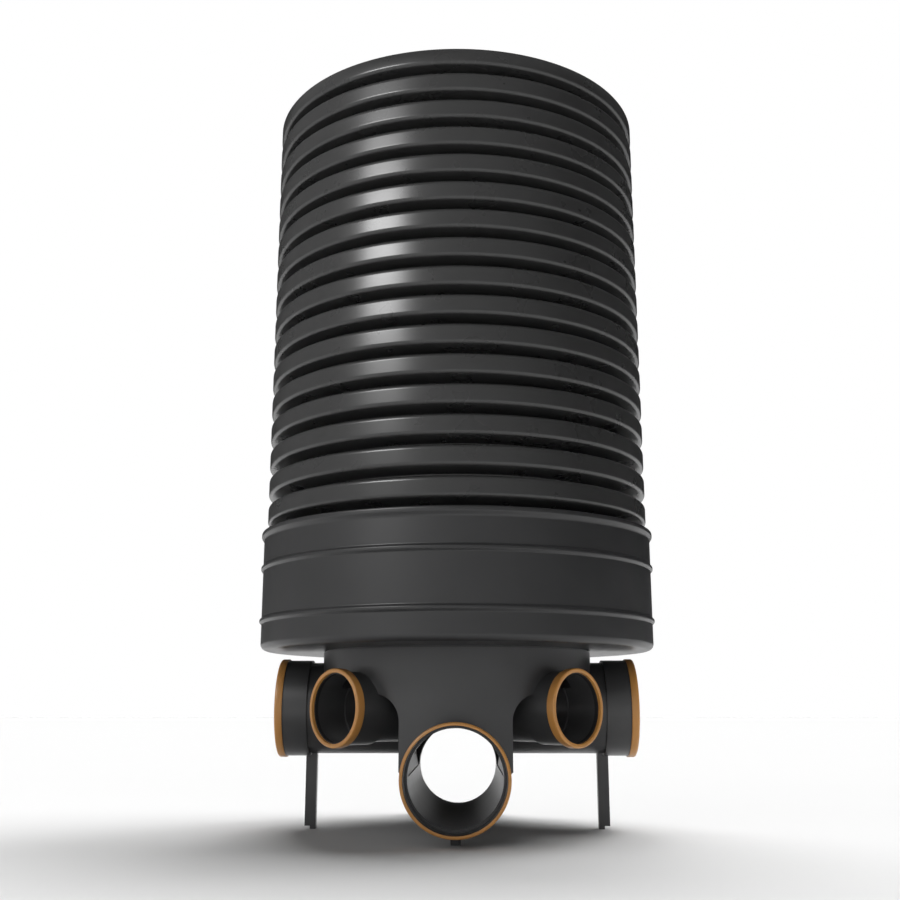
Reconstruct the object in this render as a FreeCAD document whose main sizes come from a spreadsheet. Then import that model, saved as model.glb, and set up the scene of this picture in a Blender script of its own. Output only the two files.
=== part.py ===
import FreeCAD, Part
import math
import os
import re
import Sketcher

# Drain inspection chamber: a moulded base with six pipe sockets, a socket collar on its neck and a corrugated
# riser. Millimetres, Z up. The origin is on the ground, under the riser's axis, and the front socket faces -Y.

SIZES = (
    ("riser_crest_radius", 350, "outside of the riser's ribs"),
    ("riser_depth", 50, "crest of a rib to the riser's bore"),
    ("riser_wall", 5, "wall of the riser, the same in its ribs"),
    ("riser_foot", 19, "plain end of the riser below its first rib"),
    ("riser_cut", 25.5, "height at which the top rib is sawn through"),
    ("rib_pitch", 50.9, "one rib to the next"),
    ("rib_count", 20, "ribs on the riser"),
    ("rib_flat", 24.5, "straight face of a rib's crest"),
    ("rib_shoulder", 10, "round of a rib's upper edge"),
    ("rib_draft", 3, "slope of a rib's flank over its height"),
    ("collar_clearance", 1.3, "gap between the riser's ribs and the collar"),
    ("collar_wall", 4, "wall of the collar"),
    ("collar_floor", 5, "floor of the collar"),
    ("collar_height", 211.5, "underside of the collar to the top of its rim"),
    ("collar_corner", 11, "round of the collar's lower edge"),
    ("bead_low", 51, "lower bead above the collar's underside"),
    ("bead_high", 144.5, "upper bead above the collar's underside"),
    ("bead_half", 4, "half the height of a bead"),
    ("bead_reach", 3.7, "how far a bead stands out"),
    ("rim_half", 7, "half the height of the rolled rim"),
    ("rim_reach", 4.7, "how far the rolled rim stands out"),
    ("spigot_lift", 1, "end of the collar's spigot above the side pipes' bore"),
    ("spigot_wall", 6, "wall of the spigot"),
    ("spigot_clearance", 1, "gap between the spigot and the neck"),
    ("collar_step", 3, "gap between the neck's rim and the collar's underside"),
    ("step_inset", 3, "how far the collar's seat stays inside the neck's edge"),
    ("neck_seal_height", 8, "height of the neck seal's groove"),
    ("neck_seal_depth", 3, "depth of the neck seal's groove"),
    ("neck_radius", 241.5, "outside of the neck"),
    ("neck_wall", 5.5, "wall of the neck and the trunk"),
    ("neck_rise", 96, "neck's rim above the side pipes' axis"),
    ("trunk_half", 92, "half the width of the trunk"),
    ("trunk_bevel", 14, "bevel under the trunk's sides"),
    ("flare_start", 185, "height where the trunk starts to flare"),
    ("flare_radius", 45, "round of the flare from the trunk to the bench"),
    ("bench_rise", 9.5, "rise of the bench from the flare to the neck"),
    ("flank_rise", 50, "height of the channel's sloping flank"),
    ("channel_ledge", 2, "ledge at the channel's widest line"),
    ("main_height", 100, "axis of the front and rear pipes above the ground"),
    ("side_height", 208, "axis of the side pipes above the ground"),
    ("branch_height", 207, "axis of the branch pipes above the ground"),
    ("branch_angle", 45, "angle between a branch and the front pipe"),
    ("main_bore", 76, "bore radius of a main pipe"),
    ("main_tube_wall", 3.5, "wall of a main pipe"),
    ("main_socket", 80.4, "bore radius of a main socket, for a 160 mm pipe"),
    ("main_bell_wall", 3.3, "wall of a main socket"),
    ("main_bell_start", 262, "start of a main socket's bell from the riser's axis"),
    ("main_depth", 45, "depth of a main socket's bell behind its mouth"),
    ("main_cap_radius", 86, "outside of a main snap cap"),
    ("main_cap_round", 4, "round of a main snap cap's edge"),
    ("branch_bore", 51.8, "bore radius of a branch pipe"),
    ("branch_tube_wall", 3.5, "wall of a branch pipe"),
    ("branch_socket", 55.3, "bore radius of a branch socket, for a 110 mm pipe"),
    ("branch_bell_wall", 4.2, "wall of a branch socket"),
    ("branch_bell_start", 213, "start of a branch socket's bell from the riser's axis"),
    ("branch_depth", 60, "depth of a branch socket's bell behind its mouth"),
    ("branch_cap_radius", 65, "outside of a branch snap cap"),
    ("branch_cap_round", 6, "round of a branch snap cap's edge"),
    ("bell_back", 4, "wall at the back of a socket"),
    ("cap_lap", 5, "how far a snap cap reaches back over its socket"),
    ("cap_play", 0.1, "gap between a snap cap and its socket"),
    ("cap_lip", 4.5, "thickness of a snap cap's front lip"),
    ("lip_play", 0.2, "how much wider a snap cap's mouth is than its socket"),
    ("seal_length", 6.5, "room for the rubber seal along the pipe"),
    ("seal_play", 0.1, "gap between a seal and what holds it"),
    ("foot_start", 250, "inner face of a foot from the riser's axis"),
    ("foot_plate", 10, "thickness of a foot's plate"),
    ("foot_web", 10, "length of a foot's web behind its plate"),
    ("foot_width", 16, "width of a foot's plate"),
    ("foot_web_width", 7, "width of a foot's web"),
    ("foot_web_lift", 5, "foot's web above the ground"),
)

doc = FreeCAD.newDocument("inspection_chamber")
sheet = doc.addObject("Spreadsheet::Sheet", "sizes")
for row, (alias, value, meaning) in enumerate(SIZES, start=1):
    sheet.set(f"A{row}", alias)
    sheet.set(f"B{row}", str(value))
    sheet.set(f"C{row}", meaning)
    sheet.setAlias(f"B{row}", alias)
doc.recompute()
ALIASES = {alias for alias, value, meaning in SIZES}

# Heights and radii that several pieces share, as formulas of the sizes
NECK_TOP = "(side_height + neck_rise)"
NECK_INSIDE = "(neck_radius - neck_wall)"
COLLAR_UNDERSIDE = f"({NECK_TOP} + collar_step)"
COLLAR_SEAT = f"({COLLAR_UNDERSIDE} + collar_floor)"
COLLAR_RIM = f"({COLLAR_UNDERSIDE} + collar_height)"
COLLAR_INSIDE = "(riser_crest_radius + collar_clearance)"
COLLAR_OUTSIDE = "(riser_crest_radius + collar_clearance + collar_wall)"
SPIGOT_OUTSIDE = "(neck_radius - neck_wall - spigot_clearance)"
SPIGOT_INSIDE = f"({SPIGOT_OUTSIDE} - spigot_wall)"
SPIGOT_END = "(side_height + main_bore + spigot_lift)"
NECK_SEAL_LOW = f"(({SPIGOT_END} + {NECK_TOP} - neck_seal_height) / 2)"
NECK_SEAL_HIGH = f"(({SPIGOT_END} + {NECK_TOP} + neck_seal_height) / 2)"
RISER_BORE = "(riser_crest_radius - riser_depth)"
RISER_VALLEY = "(riser_crest_radius - riser_depth + riser_wall)"
FIRST_RIB = f"({COLLAR_SEAT} + riser_foot)"
RISER_TOP = f"({FIRST_RIB} + (rib_count - 1) * rib_pitch + riser_cut)"
BENCH_INNER = "(flare_start + flare_radius)"
BENCH_OUTER = "(flare_start + flare_radius + bench_rise)"

# Each socket's name, its size family and its direction in degrees, from the front round towards +X
BRANCH = float(sheet.get("branch_angle"))
SOCKETS = (
    ("front", "main", "main_height", 0.0),
    ("right", "main", "side_height", 90.0),
    ("rear", "main", "main_height", 180.0),
    ("left", "main", "side_height", 270.0),
    ("branch_right", "branch", "branch_height", BRANCH),
    ("branch_left", "branch", "branch_height", -BRANCH),
)


def formula(text):
    """The expression with each size written as a cell of the sheet."""
    return re.sub(r"[a-z][a-z_]+", lambda m: f"sizes.{m[0]}" if m[0] in ALIASES else m[0], text)


def number(text):
    """What the formula comes to now."""
    return float(sheet.evalExpression(formula(text).replace("sizes.", "")))


def bind(piece, **formulas):
    """Ties each named property of the piece to its formula."""
    for name, text in formulas.items():
        piece.setExpression(name.replace("__", "."), formula(text))
    return piece


def outward(angle):
    """Turn that points a piece's own Z along a socket's direction."""
    way = FreeCAD.Vector(math.sin(math.radians(angle)), -math.cos(math.radians(angle)), 0)
    return FreeCAD.Rotation(FreeCAD.Vector(0, 0, 1), way)


def aim(piece, angle, reach, height):
    """Points the piece's own Z outwards at the angle and starts it at the reach and the height."""
    piece.Placement = FreeCAD.Placement(FreeCAD.Vector(), outward(angle))
    across = round(math.sin(math.radians(angle)), 12)
    along = round(-math.cos(math.radians(angle)), 12)
    place = {"Placement__Base__x": f"({reach}) * {across}", "Placement__Base__y": f"({reach}) * {along}"}
    return bind(piece, Placement__Base__z=height, **place)


def outline(sketch, corners):
    """Draws a closed outline. A corner is its two formulas, and the radius of the arc that leads to it or None.

    A positive radius bulges to the right of the way from corner to corner, and a negative one to the left.
    """
    places = [FreeCAD.Vector(number(corner[0]), number(corner[1]), 0) for corner in corners]
    ends = []
    for i, corner in enumerate(corners):
        start = places[i - 1]
        stop = places[i]
        if corner[2] is None:
            ends.append((sketch.addGeometry(Part.LineSegment(start, stop)), 1, 2))
            continue
        radius = number(corner[2])
        chord = stop - start
        bulge = abs(radius) - math.sqrt(max(radius * radius - chord.Length ** 2 / 4, 0))
        right = FreeCAD.Vector(chord.y, -chord.x, 0).normalize()
        middle = (start + stop) / 2 + right * math.copysign(bulge, radius)
        if radius > 0:
            index = sketch.addGeometry(Part.Arc(start, middle, stop))
            ends.append((index, 1, 2))
        else:
            index = sketch.addGeometry(Part.Arc(stop, middle, start))
            ends.append((index, 2, 1))
        size = sketch.addConstraint(Sketcher.Constraint("Radius", index, abs(radius)))
        sketch.setExpression(f"Constraints[{size}]", formula(f"abs({corner[2]})"))
    for i, corner in enumerate(corners):
        line, first, last = ends[i]
        after, begin, finish = ends[(i + 1) % len(ends)]
        sketch.addConstraint(Sketcher.Constraint("Coincident", line, last, after, begin))
        for kind, text, value in (("DistanceX", corner[0], places[i].x), ("DistanceY", corner[1], places[i].y)):
            size = sketch.addConstraint(Sketcher.Constraint(kind, -1, 1, line, last, value))
            sketch.setExpression(f"Constraints[{size}]", formula(text))
    return sketch


def body_sketch(body, name, corners):
    """A sketch on the body's own upright plane, with the radius across and the height up."""
    sketch = body.newObject("Sketcher::SketchObject", name)
    plane = next(p for p in body.Origin.OriginFeatures if p.Role == "XZ_Plane")
    sketch.AttachmentSupport = [(plane, "")]
    sketch.MapMode = "FlatFace"
    return outline(sketch, corners)


def turned(body, kind, name, corners):
    """A full turn of the outline about the body's axis: a Revolution adds it and a Groove takes it away."""
    sketch = body_sketch(body, f"{name}_outline", corners)
    feature = body.newObject(f"PartDesign::{kind}", name)
    feature.Profile = sketch
    feature.ReferenceAxis = (sketch, ["V_Axis"])
    feature.Angle = 360
    return feature


def turned_body(label, corners):
    """A sub-part that is one turned ring."""
    body = doc.addObject("PartDesign::Body", label)
    body.Label = label
    turned(body, "Revolution", f"{label}_ring", corners)
    return body


def make_riser():
    """Corrugated pipe with one wall: a tube with a row of hollow ribs, sawn through its top rib."""
    body = doc.addObject("PartDesign::Body", "riser_pipe")
    body.Label = "riser_pipe"
    turned(body, "Revolution", "riser_tube", (
        (RISER_BORE, COLLAR_SEAT, None),
        (RISER_VALLEY, COLLAR_SEAT, None),
        (RISER_VALLEY, RISER_TOP, None),
        (RISER_BORE, RISER_TOP, None),
    ))
    middle = f"({RISER_BORE} + riser_wall / 2)"
    shoulder = "(riser_crest_radius - rib_shoulder)"
    rib = turned(body, "Revolution", "riser_rib", (
        (middle, f"{FIRST_RIB} - rib_draft", None),
        ("riser_crest_radius", FIRST_RIB, None),
        ("riser_crest_radius", f"{FIRST_RIB} + rib_flat", None),
        (shoulder, f"{FIRST_RIB} + rib_flat + rib_shoulder", "rib_shoulder"),
        (middle, f"{FIRST_RIB} + rib_flat + rib_shoulder + rib_draft", None),
    ))
    open_side = f"({RISER_BORE} - riser_wall)"
    roof = f"({FIRST_RIB} + rib_flat + rib_shoulder - riser_wall)"
    hollow = turned(body, "Groove", "riser_rib_hollow", (
        (open_side, f"{FIRST_RIB} + riser_wall - rib_draft", None),
        ("riser_crest_radius - riser_wall", f"{FIRST_RIB} + riser_wall", None),
        ("riser_crest_radius - riser_wall", f"{roof} - (rib_shoulder - riser_wall)", None),
        (shoulder, roof, None),
        (open_side, f"{roof} + rib_draft", None),
    ))
    row = body.newObject("PartDesign::LinearPattern", "riser_ribs")
    row.Originals = [rib, hollow]
    row.Direction = (rib.Profile[0], ["V_Axis"])
    bind(row, Length="(rib_count - 1) * rib_pitch", Occurrences="rib_count")
    body.Tip = row
    turned(body, "Groove", "riser_saw_cut", (
        (open_side, RISER_TOP, None),
        ("riser_crest_radius + riser_wall", RISER_TOP, None),
        ("riser_crest_radius + riser_wall", f"{RISER_TOP} + rib_pitch", None),
        (open_side, f"{RISER_TOP} + rib_pitch", None),
    ))
    return body


def bead(height, half, reach):
    """The two ends of a rounded bead on the collar's outside, with the arc between them."""
    return (
        (COLLAR_OUTSIDE, f"{height} - {half}", None),
        (COLLAR_OUTSIDE, f"{height} + {half}", f"({reach}^2 + {half}^2) / (2 * {reach})"),
    )


def make_collar():
    """Socket for the riser: a tub with a rolled rim and two beads, and a spigot that goes down into the neck."""
    corners = (
        (SPIGOT_INSIDE, SPIGOT_END, None),
        (SPIGOT_OUTSIDE, SPIGOT_END, None),
        (SPIGOT_OUTSIDE, NECK_SEAL_LOW, None),
        (f"{SPIGOT_OUTSIDE} - neck_seal_depth", NECK_SEAL_LOW, None),
        (f"{SPIGOT_OUTSIDE} - neck_seal_depth", NECK_SEAL_HIGH, None),
        (SPIGOT_OUTSIDE, NECK_SEAL_HIGH, None),
        (SPIGOT_OUTSIDE, NECK_TOP, None),
        ("neck_radius - step_inset", NECK_TOP, None),
        ("neck_radius - step_inset", COLLAR_UNDERSIDE, None),
        (f"{COLLAR_OUTSIDE} - collar_corner", COLLAR_UNDERSIDE, None),
        (COLLAR_OUTSIDE, f"{COLLAR_UNDERSIDE} + collar_corner", "collar_corner"),
        *bead(f"{COLLAR_UNDERSIDE} + bead_low", "bead_half", "bead_reach"),
        *bead(f"{COLLAR_UNDERSIDE} + bead_high", "bead_half", "bead_reach"),
        *bead(f"{COLLAR_RIM} - rim_half", "rim_half", "rim_reach"),
        (COLLAR_INSIDE, COLLAR_RIM, None),
        (COLLAR_INSIDE, f"{COLLAR_SEAT} + collar_corner - collar_wall", None),
        (f"{COLLAR_INSIDE} - collar_corner + collar_wall", COLLAR_SEAT, "0 - (collar_corner - collar_wall)"),
        (SPIGOT_INSIDE, COLLAR_SEAT, None),
    )
    return turned_body("riser_collar", corners)


def make_neck_seal():
    """Rubber ring in the spigot's groove, pressed against the inside of the neck."""
    bottom = f"{NECK_SEAL_LOW} + seal_play"
    top = f"{NECK_SEAL_HIGH} - seal_play"
    root = f"{SPIGOT_OUTSIDE} - neck_seal_depth"
    return turned_body("neck_seal", (
        (root, bottom, None),
        (SPIGOT_OUTSIDE, bottom, None),
        (NECK_INSIDE, f"{bottom} + neck_seal_height / 2", None),
        (NECK_INSIDE, top, None),
        (root, top, None),
    ))


def make_riser_seal():
    """Rubber ring that fills the riser's lowest groove, with two fins against the collar's wall."""
    bottom = f"({FIRST_RIB} + rib_flat + rib_shoulder + rib_draft + seal_play)"
    top = f"({FIRST_RIB} + rib_pitch - rib_draft - seal_play)"
    shoulder = f"{COLLAR_INSIDE} - 2 * collar_clearance"
    return turned_body("riser_seal", (
        (RISER_VALLEY, bottom, None),
        (shoulder, bottom, None),
        (COLLAR_INSIDE, f"({bottom} * 2 + {top}) / 3", None),
        (shoulder, f"({bottom} + {top}) / 2", None),
        (COLLAR_INSIDE, f"({bottom} + {top} * 5) / 6", None),
        (shoulder, top, None),
        (RISER_VALLEY, top, None),
    ))


def make_cap(name, size, height, angle):
    """Snap cap: a skirt over the socket's mouth, room for the seal and a rounded front lip."""
    grip = f"{size}_socket + {size}_bell_wall + cap_play"
    mouth = f"{size}_socket + lip_play"
    length = "(cap_lap + seal_length + cap_lip)"
    body = turned_body(f"{name}_cap", (
        (grip, "0", None),
        (f"{size}_cap_radius", "0", None),
        (f"{size}_cap_radius", f"{length} - {size}_cap_round", None),
        (f"{size}_cap_radius - {size}_cap_round", length, f"{size}_cap_round"),
        (mouth, length, None),
        (mouth, "cap_lap + seal_length", None),
        (grip, "cap_lap + seal_length", None),
    ))
    return aim(body, angle, f"{size}_bell_start + {size}_depth - cap_lap", height)


def make_seal(name, size, height, angle):
    """Rubber lip seal between the socket's mouth and the snap cap's lip, with its lip spread by a pipe."""
    back = f"{size}_socket + {size}_bell_wall - seal_play"
    body = turned_body(f"{name}_seal", (
        (f"{size}_socket", "0", None),
        (f"{size}_socket + {size}_bell_wall / 3", "0", None),
        (f"{size}_socket + {size}_bell_wall / 2", "seal_length / 2", None),
        (f"{size}_socket + {size}_bell_wall * 2 / 3", "0", None),
        (back, "0", None),
        (back, "seal_length - seal_play", None),
        (f"{size}_socket", "seal_length - seal_play", None),
    ))
    return aim(body, angle, f"{size}_bell_start + {size}_depth", height)


def rod(name, radius, length, angle, reach, height):
    """A round bar along a socket's direction."""
    return aim(bind(doc.addObject("Part::Cylinder", name), Radius=radius, Height=length), angle, reach, height)


def prism(name, corners):
    """An upright outline across the chamber, drawn from front to rear inside the neck's round."""
    sketch = doc.addObject("Sketcher::SketchObject", f"{name}_outline")
    sketch.Placement = FreeCAD.Placement(FreeCAD.Vector(), FreeCAD.Rotation(FreeCAD.Vector(1, 0, 0), 90))
    outline(sketch, corners)
    solid = doc.addObject("Part::Extrusion", name)
    solid.Base = sketch
    solid.DirMode = "Normal"
    solid.Solid = True
    solid.Symmetric = True
    return bind(solid, LengthFwd="2 * neck_radius")


def mirrored(half):
    """The outline's right half, from bottom to top, with its left half added."""
    left = []
    for i, (across, up, arc) in enumerate(half):
        leads_on = half[i + 1][2] if i + 1 < len(half) else None
        left.append((f"0 - ({across})", up, leads_on))
    return tuple(half) + tuple(reversed(left))


def trim_round(name, solid, radius):
    """The solid cut off to a round of the radius about the riser's axis."""
    disc = bind(doc.addObject("Part::Cylinder", f"{name}_round"), Radius=radius, Height=f"2 * {NECK_TOP}")
    common = doc.addObject("Part::MultiCommon", name)
    common.Shapes = [solid, disc]
    return common


def make_feet():
    """A plate and a web under each main socket, from its pipe's wall to the ground."""
    solids = []
    for name, size, height, angle in SOCKETS:
        if size != "main":
            continue
        turn = FreeCAD.Rotation(FreeCAD.Vector(0, 0, 1), angle - 90)
        across = round(math.sin(math.radians(angle)), 12)
        along = round(-math.cos(math.radians(angle)), 12)
        parts = (
            ("plate", "foot_plate", "foot_width", "foot_start", "0", "main_bore + main_tube_wall / 2"),
            ("web", "foot_web", "foot_web_width", "foot_start + foot_plate", "foot_web_lift",
             "main_socket + main_bell_wall / 2"),
        )
        for part, length, width, reach, lift, drop in parts:
            box = doc.addObject("Part::Box", f"{name}_foot_{part}")
            box.Placement = FreeCAD.Placement(FreeCAD.Vector(), turn)
            bind(box, Length=length, Width=width, Height=f"{height} - ({drop}) - ({lift})",
                 Placement__Base__x=f"({reach}) * {across} + {width} / 2 * {along}",
                 Placement__Base__y=f"({reach}) * {along} - {width} / 2 * {across}",
                 Placement__Base__z=lift)
            solids.append(box)
    return solids


def make_base():
    """Moulded base: neck, flared trunk, pipes and sockets outside; chamber, benching and channels inside."""
    neck = bind(doc.addObject("Part::Cylinder", "neck_outside"), Radius="neck_radius",
                Height=f"{NECK_TOP} - {BENCH_OUTER}", Placement__Base__z=BENCH_OUTER)
    trunk = trim_round("trunk", prism("trunk_block", mirrored((
        ("trunk_half - trunk_bevel", "main_height - trunk_bevel / 2", None),
        ("trunk_half", "main_height + trunk_bevel / 2", None),
        ("trunk_half", "flare_start", None),
        ("trunk_half + flare_radius", BENCH_INNER, "0 - flare_radius"),
        ("neck_radius", BENCH_OUTER, None),
        ("neck_radius", f"{BENCH_OUTER} + neck_wall", None),
    ))), "neck_radius")
    chamber = trim_round("chamber", prism("chamber_block", mirrored((
        ("main_bore + channel_ledge", "main_height", None),
        ("trunk_half - neck_wall", "main_height + flank_rise", None),
        ("trunk_half - neck_wall", "flare_start", None),
        ("trunk_half + flare_radius", f"{BENCH_INNER} + neck_wall", "0 - (flare_radius + neck_wall)"),
        (NECK_INSIDE, f"{BENCH_OUTER} + neck_wall", None),
        (NECK_INSIDE, f"{NECK_TOP} + neck_wall", None),
    ))), NECK_INSIDE)
    solids = [neck, trunk]
    hollows = [chamber]
    for name, size, height, angle in SOCKETS:
        start = f"{size}_bell_start"
        solids.append(rod(f"{name}_tube", f"{size}_bore + {size}_tube_wall", start, angle, "0", height))
        solids.append(rod(f"{name}_bell", f"{size}_socket + {size}_bell_wall", f"{size}_depth",
                          angle, start, height))
        hollows.append(rod(f"{name}_bore", f"{size}_bore", f"{start} + {size}_depth", angle, "0", height))
        hollows.append(rod(f"{name}_socket", f"{size}_socket", f"{size}_depth",
                           angle, f"{start} + bell_back", height))
    outside = doc.addObject("Part::MultiFuse", "base_outside")
    outside.Shapes = solids + make_feet()
    inside = doc.addObject("Part::MultiFuse", "base_inside")
    inside.Shapes = hollows
    base = doc.addObject("Part::Cut", "chamber_base")
    base.Base = outside
    base.Tool = inside
    base.Refine = True
    base.Label = "chamber_base"
    return base


pieces = [make_base(), make_collar(), make_riser(), make_neck_seal(), make_riser_seal()]
for socket in SOCKETS:
    pieces.append(make_cap(*socket))
    pieces.append(make_seal(*socket))
doc.recompute()

failed = [item.Name for item in doc.Objects if "Invalid" in item.State or "Error" in item.State]
if failed:
    raise RuntimeError("objects that did not build: " + ", ".join(failed))
for piece in pieces:
    if piece.Shape.isNull() or not piece.Shape.isValid() or len(piece.Shape.Solids) != 1:
        raise RuntimeError(f"{piece.Label} is not one valid solid")

os.makedirs("parts", exist_ok=True)
for piece in pieces:
    piece.Shape.exportStep(f"parts/{piece.Label}.step")
    print(f"{piece.Label}: {piece.Shape.Volume / 1000:.1f} cm3")
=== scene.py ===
import math

import bpy
import numpy as np
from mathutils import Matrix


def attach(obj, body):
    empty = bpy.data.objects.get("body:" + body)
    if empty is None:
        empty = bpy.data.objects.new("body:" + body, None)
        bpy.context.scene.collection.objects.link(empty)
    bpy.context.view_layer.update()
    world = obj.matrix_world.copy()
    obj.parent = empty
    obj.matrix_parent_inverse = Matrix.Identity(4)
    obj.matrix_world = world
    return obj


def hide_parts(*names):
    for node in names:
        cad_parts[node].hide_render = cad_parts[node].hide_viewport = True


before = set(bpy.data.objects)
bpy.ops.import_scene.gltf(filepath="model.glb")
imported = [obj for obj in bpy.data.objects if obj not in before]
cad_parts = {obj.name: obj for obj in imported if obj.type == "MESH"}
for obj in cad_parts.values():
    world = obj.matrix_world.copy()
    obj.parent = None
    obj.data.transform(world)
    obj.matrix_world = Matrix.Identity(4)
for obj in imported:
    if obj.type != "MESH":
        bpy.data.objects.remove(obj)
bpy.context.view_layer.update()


# ---- Chamber base ----
# One injection moulding in black polypropylene: neck, flared trunk, six pipes with sockets, and four feet.
# It comes from the frame, its triangles welded into one skin, so that its round parts shade smoothly.

def linear(shade):
    """Turns a colour written as sRGB hex into the linear values that a shader takes."""
    parts = [int(shade[i:i + 2], 16) / 255 for i in (1, 3, 5)]
    return (*[p / 12.92 if p <= 0.04045 else ((p + 0.055) / 1.055) ** 2.4 for p in parts], 1.0)


def add(tree, kind, settings, **links):
    """Adds a node with its options and input values, and links the named inputs to other nodes' outputs."""
    made = tree.nodes.new(kind)
    for name, value in settings.items():
        if name in made.inputs:
            made.inputs[name].default_value = value
        else:
            setattr(made, name, value)
    for name, output in links.items():
        tree.links.new(made.inputs[name.replace("_", " ")], output)
    return made


def moulded_skin(name, shade, roughness, ripple, ring_stretch):
    """A satin moulded skin with a fine grain, and slow ripples where the wall shrank as it cooled.

    ring_stretch above 1 squeezes the ripples along the height, so they run round the piece as rings.
    """
    material = bpy.data.materials.new(name)
    material.use_nodes = True
    tree = material.node_tree
    shader = tree.nodes["Principled BSDF"]
    place = add(tree, "ShaderNodeTexCoord", {})
    squeeze = add(tree, "ShaderNodeMapping", {"Scale": (1.0, 1.0, ring_stretch)},
                  Vector=place.outputs["Object"])
    # Patches of 60 mm where the skin took the mould a little differently
    patches = add(tree, "ShaderNodeTexNoise", {"Scale": 1 / 0.06, "Detail": 3.0},
                  Vector=place.outputs["Object"])
    tone = add(tree, "ShaderNodeMix", {"data_type": "RGBA"}, Factor=patches.outputs["Fac"])
    tone.inputs[6].default_value = linear(shade)
    tone.inputs[7].default_value = tuple(1.25 * part for part in linear(shade)[:3]) + (1.0,)
    gloss = add(tree, "ShaderNodeMapRange", {"To Min": roughness * 0.9, "To Max": roughness * 1.1},
                Value=patches.outputs["Fac"])
    # Ripples 25 mm long, and a grain of 1.5 mm, drawn coarser than the real 0.3 mm so that it shows
    waves = add(tree, "ShaderNodeTexNoise", {"Scale": 1 / 0.025, "Detail": 2.0},
                Vector=squeeze.outputs["Vector"])
    grain = add(tree, "ShaderNodeTexNoise", {"Scale": 1 / 0.0015, "Detail": 1.0},
                Vector=place.outputs["Object"])
    slow = add(tree, "ShaderNodeBump", {"Strength": 1.0, "Distance": ripple}, Height=waves.outputs["Fac"])
    fine = add(tree, "ShaderNodeBump", {"Strength": 1.0, "Distance": 0.00001}, Height=grain.outputs["Fac"],
               Normal=slow.outputs["Normal"])
    tree.links.new(shader.inputs["Base Color"], tone.outputs[2])
    tree.links.new(shader.inputs["Roughness"], gloss.outputs["Result"])
    tree.links.new(shader.inputs["Normal"], fine.outputs["Normal"])
    shader.inputs["IOR"].default_value = 1.49
    shader.inputs["Specular IOR Level"].default_value = 0.6
    return material


def welded_copy(node, name, material):
    """Copies a node's loose triangles into one closed skin, and stands it in for the node."""
    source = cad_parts[node].data
    points = np.empty(len(source.vertices) * 3, np.float32)
    source.vertices.foreach_get("co", points)
    points = points.reshape(-1, 3)
    corners = np.empty(len(source.loops), np.int32)
    source.loops.foreach_get("vertex_index", corners)
    weld = 2e-6
    grid = np.round(points / weld).astype(np.int64)
    first, shared = np.unique(grid, axis=0, return_index=True, return_inverse=True)[1:]
    triangles = shared.reshape(-1)[corners].reshape(-1, 3)
    whole = (triangles[:, 0] != triangles[:, 1]) & (triangles[:, 1] != triangles[:, 2]) \
        & (triangles[:, 2] != triangles[:, 0])
    mesh = bpy.data.meshes.new(name)
    mesh.from_pydata(points[first], [], triangles[whole])
    mesh.polygons.foreach_set("use_smooth", np.ones(len(mesh.polygons), bool))
    mesh.set_sharp_from_angle(angle=math.radians(28))
    mesh.materials.append(material)
    piece = bpy.data.objects.new(name, mesh)
    bpy.context.scene.collection.objects.link(piece)
    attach(piece, "root")
    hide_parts(node)


base_plastic = moulded_skin("satin_moulded_polypropylene_base", "#3c3c3d", 0.34, 0.00004, 1.0)
welded_copy("chamber_base", "base_moulding", base_plastic)


# ---- Collar ----
# The wide socket that stands on the neck: a tub moulded in black polypropylene, with a rolled rim, two thin
# beads round its wall, and a spigot below that goes down into the neck. It is a little duller than the pipe.

def rounded(corners):
    """Rounds the corners of a closed profile. A corner is (radius, height, round, points on the round).

    Each round is an arc that leaves its two straight sides at the same distance from the corner, which is the
    round divided by the tangent of half the corner's angle. A round of five points or more also gets a point
    half a millimetre before and after it, so that the straight sides shade flat right up to it.
    """
    line = []
    for i, (x, z, round_by, points) in enumerate(corners):
        here = np.array((x, z))
        if points == 1:
            line.append(here[None, :])
            continue
        before = np.array(corners[i - 1][:2]) - here
        after = np.array(corners[(i + 1) % len(corners)][:2]) - here
        before /= np.linalg.norm(before)
        after /= np.linalg.norm(after)
        half = math.acos(np.clip(before @ after, -1, 1)) / 2
        middle = (before + after) / np.linalg.norm(before + after)
        centre = here + middle * round_by / math.sin(half)
        start = here + before * round_by / math.tan(half) - centre
        end = here + after * round_by / math.tan(half) - centre
        turn = math.atan2(start[0] * end[1] - start[1] * end[0], start @ end)
        angles = np.linspace(0, turn, points)
        cos, sin = np.cos(angles), np.sin(angles)
        arc = centre + np.stack((start[0] * cos - start[1] * sin, start[0] * sin + start[1] * cos), 1)
        if points >= 5:
            arc = np.concatenate((arc[:1] + 0.0005 * before, arc, arc[-1:] + 0.0005 * after))
        line.append(arc)
    return np.concatenate(line)


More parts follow.
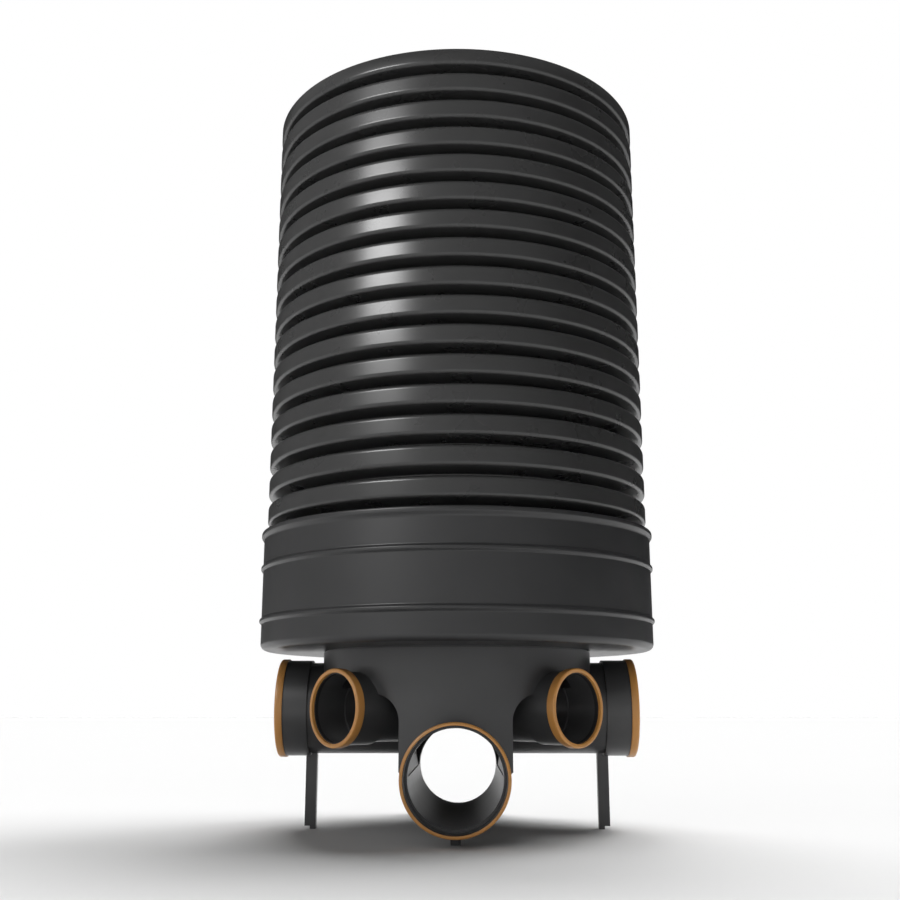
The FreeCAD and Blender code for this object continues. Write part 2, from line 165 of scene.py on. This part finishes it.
def turned(name, profile, around, material, node, axis=None):
    """Carries a closed profile of (radius, height) once round the Z axis.

    The point at angle a is (radius sin a, -radius cos a, height). An axis of (compass angle, height) lays the
    result down: its Z axis then runs level from that height over the origin, at that angle from -Y to +X.
    """
    angle = np.arange(around) * 2 * np.pi / around
    radius, height = profile[:, :1], profile[:, 1:]
    points = np.stack((radius * np.sin(angle), -radius * np.cos(angle), height + 0 * angle), -1)
    if axis:
        turn = math.radians(axis[0])
        across, out = (math.cos(turn), math.sin(turn), 0.0), (math.sin(turn), -math.cos(turn), 0.0)
        points = points @ np.array((across, (0.0, 0.0, 1.0), out)) + (0.0, 0.0, axis[1])
    rows, columns = np.meshgrid(np.arange(len(profile)), np.arange(around), indexing="ij")
    up, on = (rows + 1) % len(profile), (columns + 1) % around
    faces = np.stack((rows * around + columns, rows * around + on,
                      up * around + on, up * around + columns), -1)
    mesh = bpy.data.meshes.new(name)
    mesh.from_pydata(points.reshape(-1, 3), [], faces.reshape(-1, 4))
    mesh.polygons.foreach_set("use_smooth", np.ones(len(mesh.polygons), bool))
    mesh.set_sharp_from_angle(angle=math.radians(40))
    mesh.materials.append(material)
    piece = bpy.data.objects.new(name, mesh)
    bpy.context.scene.collection.objects.link(piece)
    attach(piece, "root")
    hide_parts(node)


collar_inside, collar_wall = 0.3513, 0.0040
collar_outside = collar_inside + collar_wall
collar_foot, collar_seat, collar_rim = 0.3070, 0.3120, 0.5165
spigot_inside, spigot_outside, spigot_end = 0.2290, 0.2350, 0.2850
groove_low, groove_high, groove_root = 0.2905, 0.2985, 0.2320
neck_top, step_radius = 0.3040, 0.2385
bead_reach, bead_half, bead_flat = 0.0037, 0.0060, 0.0020
rim_reach, rim_flat, rim_depth = 0.0045, 0.0080, 0.0145

collar = [(spigot_inside, spigot_end, 0.0005, 3), (spigot_outside, spigot_end, 0.0005, 3),
          (spigot_outside, groove_low, 0.0, 1), (groove_root, groove_low, 0.0, 1),
          (groove_root, groove_high, 0.0, 1), (spigot_outside, groove_high, 0.0, 1),
          (spigot_outside, neck_top, 0.0, 1), (step_radius, neck_top, 0.0, 1),
          (step_radius, collar_foot, 0.0, 1), (collar_outside, collar_foot, 0.0110, 9)]
for bead in (0.3580, 0.4515):
    collar += [(collar_outside, bead - bead_half, 0.0025, 5),
               (collar_outside + bead_reach, bead - bead_flat, 0.0022, 5),
               (collar_outside + bead_reach, bead + bead_flat, 0.0022, 5),
               (collar_outside, bead + bead_half, 0.0025, 5)]
collar += [(collar_outside, collar_rim - rim_depth, 0.0080, 5),
           (collar_outside + rim_reach, collar_rim - rim_flat, 0.0040, 5),
           (collar_outside + rim_reach, collar_rim, 0.0035, 5), (collar_inside, collar_rim, 0.0010, 3),
           (collar_inside, collar_seat, 0.0070, 5), (spigot_inside, collar_seat, 0.0010, 3)]
collar_plastic = moulded_skin("satin_moulded_polypropylene_collar", "#262627", 0.36, 0.00004, 1.0)
turned("collar_moulding", rounded(collar), 192, collar_plastic, "riser_collar")


# ---- Riser ----
# Corrugated pipe, extruded in black polypropylene and formed in travelling moulds, so each rib has a flat
# crest between a rounded lower lip and a rounded shoulder. The wall is one skin, and the ribs are hollow.

riser_seat = 0.312
riser_top = 1.3236
crest, bore, wall = 0.350, 0.300, 0.005
valley = bore + wall
first_rib, pitch, ribs = 0.3288, 0.0509, 20
rib_height, lip, shoulder = 0.0347, 0.0065, 0.0085
shoulder_round, fillet = 0.93 * shoulder, 0.0015
underside, topside = 0.006 / 0.040, 0.003 / 0.040
cut_lean = 0.001

outside = [(bore, riser_seat, 0.0, 1), (valley, riser_seat, 0.0, 1)]
inside = []
for k in range(ribs):
    foot = first_rib + k * pitch
    roof = foot + rib_height
    outside += [(valley, foot - underside * (crest - lip - valley), fillet, 3), (crest, foot, lip, 5)]
    inside += [(bore, foot + wall - underside * (crest - bore), fillet, 3),
               (crest - wall, foot + wall, 0.0, 1)]
    if k < ribs - 1:
        outside += [(crest, roof - topside * shoulder, shoulder_round, 7),
                    (valley, roof + topside * (crest - shoulder - valley), fillet, 3)]
        inside += [(crest - wall, roof - shoulder, 0.0, 1), (crest - shoulder, roof - wall, 0.0, 1),
                   (bore, roof - wall + topside * (crest - shoulder - bore), fillet, 3)]
# The highest rib is sawn off square just above its crest, and leans in a little there
outside += [(crest, roof - shoulder, 0.0, 1), (crest - cut_lean, riser_top, 0.0, 1)]
inside += [(crest - wall, roof - shoulder, 0.0, 1), (crest - wall - 1.5 * cut_lean, riser_top, 0.0, 1)]
pipe_plastic = moulded_skin("satin_extruded_polypropylene_pipe", "#2f2f2f", 0.28, 0.00001, 12.0)
turned("riser_corrugated_pipe", rounded(outside + inside[::-1]), 144, pipe_plastic,
       "riser_pipe")


# ---- Snap caps ----
# Rings moulded in terracotta polypropylene and snapped on each socket's mouth: a thin skirt over the bell, a
# flat front lip with a rounded outer edge, and between them the groove that holds the rubber seal.

cap_plastic = moulded_skin("satin_moulded_terracotta_polypropylene", "#c38a48", 0.38, 0.00003, 1.0)
sockets = {"front": (0, 0.100), "right": (90, 0.208), "rear": (180, 0.100), "left": (-90, 0.208),
           "branch_right": (45, 0.207), "branch_left": (-45, 0.207)}


def cap_ring(bell, outside, inside, back, front, lip, edge):
    """Profile of a snap cap: a skirt round the bell from back to front, and a lip that reaches in to inside.

    Distances run out from the riser's axis, lip is the lip's thickness, and edge rounds its outer corner.
    """
    return rounded(((bell, back, 0.0, 1), (outside, back, 0.0006, 3), (outside, front, edge, 7),
                    (inside, front, 0.0008, 3), (inside, front - lip, 0.0, 1), (bell, front - lip, 0.0, 1)))


main_cap = cap_ring(0.0838, 0.0860, 0.0808, 0.3045, 0.3180, 0.0045, 0.0035)
branch_cap = cap_ring(0.0597, 0.0640, 0.0572, 0.2705, 0.2850, 0.0055, 0.0022)
for socket, axis in sockets.items():
    cap = branch_cap if "branch" in socket else main_cap
    turned(f"{socket}_snap_cap", cap, 96, cap_plastic, f"{socket}_cap", axis)


# ---- Seals ----
# Moulded black rubber: a lip seal held under each snap cap, a ring in the groove of the collar's spigot, and
# one in the riser's lowest groove. They come from the frame, and little of them shows.

seal_rubber = moulded_skin("moulded_rubber", "#1b1b1c", 0.55, 0.00003, 1.0)
for seal in [f"{socket}_seal" for socket in sockets] + ["neck_seal", "riser_seal"]:
    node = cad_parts[seal]
    for polished in node.material_slots:
        polished.material = seal_rubber


# ---- Studio ----
# A white sweep without a horizon, a broad soft light above and behind on the right, which lays the shadow
# to the front left, and one softbox at the front left, whose reflection stands in the riser's ribs.

floor_mesh = bpy.data.meshes.new("floor")
reach = 30.0
floor_mesh.from_pydata([(-reach, -reach, 0), (reach, -reach, 0), (reach, reach, 0), (-reach, reach, 0)], [],
                       [(0, 1, 2, 3)])
floor = bpy.data.objects.new("floor", floor_mesh)
bpy.context.scene.collection.objects.link(floor)
floor_paint = bpy.data.materials.new("matt_white_floor")
floor_paint.use_nodes = True
floor_shader = floor_paint.node_tree.nodes["Principled BSDF"]
floor_shader.inputs["Base Color"].default_value = (0.72, 0.72, 0.72, 1.0)
floor_shader.inputs["Roughness"].default_value = 1.0
floor_shader.inputs["Specular IOR Level"].default_value = 0.0
floor_mesh.materials.append(floor_paint)

world = bpy.context.scene.world or bpy.data.worlds.new("studio")
bpy.context.scene.world = world
world.use_nodes = True
studio = world.node_tree
studio.nodes.clear()
way = add(studio, "ShaderNodeTexCoord", {})
parts = add(studio, "ShaderNodeSeparateXYZ", {}, Vector=way.outputs["Generated"])


def combine(first, second, operation="ADD"):
    """Works out one value of the studio's tree from two, each an output or a number."""
    node = studio.nodes.new("ShaderNodeMath")
    node.operation = operation
    for socket, value in zip(node.inputs, (first, second)):
        if isinstance(value, float):
            socket.default_value = value
        else:
            studio.links.new(socket, value)
    return node.outputs["Value"]


# The room is brightest at the front left and falls off to the right and behind, and its ceiling is dark
bright = math.radians(35)
towards = combine(combine(parts.outputs["X"], -math.sin(bright), "MULTIPLY"),
                  combine(parts.outputs["Y"], -math.cos(bright), "MULTIPLY"))
lit_wall = add(studio, "ShaderNodeMapRange",
               {"From Min": -0.28, "From Max": 1.0, "To Min": 0.015, "To Max": 0.69}, Value=towards)
left_wall = add(studio, "ShaderNodeMapRange",
                {"From Min": -0.2, "From Max": -0.6, "To Min": 0.0, "To Max": 0.08}, Value=parts.outputs["X"])
walls = combine(lit_wall.outputs["Result"], left_wall.outputs["Result"])
ceiling = add(studio, "ShaderNodeMapRange",
              {"From Min": 0.58, "From Max": 0.8, "To Min": 1.0, "To Max": 0.05}, Value=parts.outputs["Z"])
room = combine(walls, ceiling.outputs["Result"], "MULTIPLY")
path = add(studio, "ShaderNodeLightPath", {})
# Reflections also show a pale panel high up at the front left
panel = add(studio, "ShaderNodeMapRange",
            {"From Min": 0.55, "From Max": 0.75, "To Min": 0.0, "To Max": 0.35}, Value=parts.outputs["Z"])
panel_side = add(studio, "ShaderNodeMapRange",
                 {"From Min": -0.4, "From Max": 0.2, "To Min": 0.3, "To Max": 1.0}, Value=towards)
panel_light = combine(combine(panel.outputs["Result"], panel_side.outputs["Result"], "MULTIPLY"),
                      path.outputs["Is Glossy Ray"], "MULTIPLY")
room = combine(room, panel_light)
# The white backdrop is all that the camera sees. Reflections show it straight behind the chamber, at half
# its strength, and not in the narrow middle, which the chamber's own pipes would catch
backdrop = add(studio, "ShaderNodeMapRange", {"From Min": 0.93, "From Max": 0.97}, Value=parts.outputs["Y"])
beside = add(studio, "ShaderNodeMapRange", {"From Min": 0.13, "From Max": 0.19, "To Max": 0.5},
             Value=combine(parts.outputs["X"], 0.0, "ABSOLUTE"))
glimpse = combine(path.outputs["Is Glossy Ray"],
                  combine(backdrop.outputs["Result"], beside.outputs["Result"], "MULTIPLY"), "MULTIPLY")
straight = combine(path.outputs["Is Camera Ray"], path.outputs["Is Transmission Ray"], "MAXIMUM")
seen = combine(straight, glimpse, "MAXIMUM")
level = add(studio, "ShaderNodeMix", {"data_type": "FLOAT"}, Factor=seen)
studio.links.new(level.inputs[2], room)
level.inputs[3].default_value = 1.0
sky = add(studio, "ShaderNodeBackground", {"Color": (1.0, 1.0, 1.0, 1.0)}, Strength=level.outputs[0])
add(studio, "ShaderNodeOutputWorld", {}, Surface=sky.outputs["Background"])


def aimed(data, place, target):
    """Places a lamp and turns its beam to the target."""
    lamp = bpy.data.objects.new(data.name, data)
    bpy.context.scene.collection.objects.link(lamp)
    beam = np.array(target, float) - np.array(place, float)
    across = math.atan2(beam[1], beam[0]) - math.pi / 2
    lamp.location = place
    lamp.rotation_euler = (math.acos(-beam[2] / np.linalg.norm(beam)), 0.0, across)
    return lamp


# One wide light overhead and behind, in three parts. It is kept out of the reflections, where the ribs'
# shoulders would draw it as bright rings. Of the softbox only the reflection in the ribs is used.
overhead = {"overhead_right": (1.4, (1.76, 0.82, 3.70)), "overhead_middle": (1.3, (0.97, 1.68, 3.80)),
            "overhead_rear": (1.7, (-0.40, 1.90, 3.90))}
for name, (energy, place) in overhead.items():
    share = bpy.data.lights.new(name, "SUN")
    share.energy = energy
    share.angle = math.radians(30)
    aimed(share, place, (0.0, 0.0, 0.0)).visible_glossy = False

softbox = bpy.data.lights.new("softbox", "AREA")
softbox.shape = "RECTANGLE"
softbox.size, softbox.size_y = 1.25, 0.62
softbox.energy = 52.0
aimed(softbox, (-2.06, -2.31, 2.14), (-0.12, -0.33, 0.95)).visible_diffuse = False

camera_data = bpy.data.cameras.new("camera")
camera_data.lens = 45.49
camera_data.sensor_width = 36.0
camera_data.shift_y = -0.0160
camera_data.clip_start, camera_data.clip_end = 0.05, 100.0
camera = bpy.data.objects.new("camera", camera_data)
camera.location = (0.0190, -2.1166, 0.2040)
camera.rotation_euler = (math.radians(90 + 13.563), 0.0, math.radians(0.853))
bpy.context.scene.collection.objects.link(camera)
bpy.context.scene.camera = camera
bpy.context.scene.view_settings.view_transform = "Standard"
